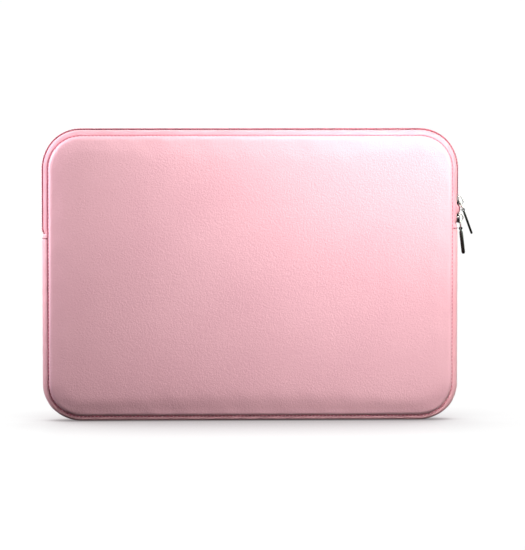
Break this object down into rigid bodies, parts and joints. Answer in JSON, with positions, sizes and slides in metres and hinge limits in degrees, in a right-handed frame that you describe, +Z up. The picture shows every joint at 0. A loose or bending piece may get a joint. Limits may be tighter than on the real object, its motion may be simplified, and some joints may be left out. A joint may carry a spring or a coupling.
{
  "type": "laptop sleeve",
  "caption": "Padded laptop sleeve with rounded corners: soft panels joined by a padded gusset below and a coil zip round the top, closed by metal sliders with bar pulls.",
  "frame": {"origin": "on the surface the sleeve stands on, at the middle of the gusset's flat bottom strip", "axes": "+X to the right along the width, towards the zip's right end; +Y from the front panel to the back panel; +Z up, from the closed long edge to the zipped one"},
  "size_m": [0.3577, 0.028, 0.2416],
  "materials": {
    "outer_fabric": "matt, finely crinkled soft-touch cloth",
    "foam": "closed-cell foam",
    "lining": "short plush pile",
    "zip_tape": "woven tape",
    "zip_coil": "nylon coil",
    "binding": "folded woven tape",
    "thread": "twisted thread",
    "slider_metal": "polished nickel",
    "pull_metal": "dark polished nickel"
  },
  "bodies": {
    "sleeve": {"back_skin": "outer_fabric", "back_foam": "foam", "back_lining": "lining", "front_skin": "outer_fabric", "front_foam": "foam", "front_lining": "lining", "gusset_skin": "outer_fabric", "gusset_foam": "foam", "gusset_lining": "lining", "back_zip_tape": "zip_tape", "back_zip_coil": "zip_coil", "left_zip_tape_end": "zip_tape", "left_zip_coil_end": "zip_coil", "right_zip_tape_end": "zip_tape", "right_zip_coil_end": "zip_coil", "left_zip_end_tab": "outer_fabric", "right_zip_end_tab": "outer_fabric", "back_seam_binding": "binding", "front_seam_binding": "binding", "back_seam_thread": "thread", "front_seam_thread": "thread"},
    "front_flap": {"flap_skin": "outer_fabric", "flap_foam": "foam", "flap_lining": "lining", "flap_zip_tape": "zip_tape", "flap_zip_coil": "zip_coil", "flap_seam_binding": "binding", "flap_seam_thread": "thread"},
    "upper_slider": {"upper_slider": "slider_metal"},
    "upper_link": {"upper_link": "slider_metal"},
    "upper_pull": {"upper_pull": "pull_metal"},
    "lower_slider": {"lower_slider": "slider_metal"},
    "lower_link": {"lower_link": "slider_metal"},
    "lower_pull": {"lower_pull": "pull_metal"}
  },
  "joints": [
    {"name": "front_flap_fold", "type": "hinge", "parent": "sleeve", "child": "front_flap", "pos_m": [0, -0.014, 0.188], "axis": [1, 0, 0], "range_deg": [0, 75]},
    {"name": "upper_slider_travel", "type": "slide", "parent": "sleeve", "child": "upper_slider", "axis": [0, 0, 1], "range_m": [0, 0.022]},
    {"name": "upper_link_swing", "type": "hinge", "parent": "upper_slider", "child": "upper_link", "pos_m": [0.1745, 0, 0.1806], "axis": [0, -1, 0], "range_deg": [0, 73]},
    {"name": "upper_pull_swing", "type": "hinge", "parent": "upper_link", "child": "upper_pull", "pos_m": [0.17705, 0, 0.1743], "axis": [0, -1, 0], "range_deg": [0, 76]},
    {"name": "lower_slider_travel", "type": "slide", "parent": "sleeve", "child": "lower_slider", "axis": [0, 0, 1], "range_m": [0, 0.0012]},
    {"name": "lower_link_swing", "type": "hinge", "parent": "lower_slider", "child": "lower_link", "pos_m": [0.1745, 0, 0.1656], "axis": [0, -1, 0], "range_deg": [0, 18]},
    {"name": "lower_pull_swing", "type": "hinge", "parent": "lower_link", "child": "lower_pull", "pos_m": [0.17497, 0, 0.15882], "axis": [0, -1, 0], "range_deg": [0, 30]}
  ]
}
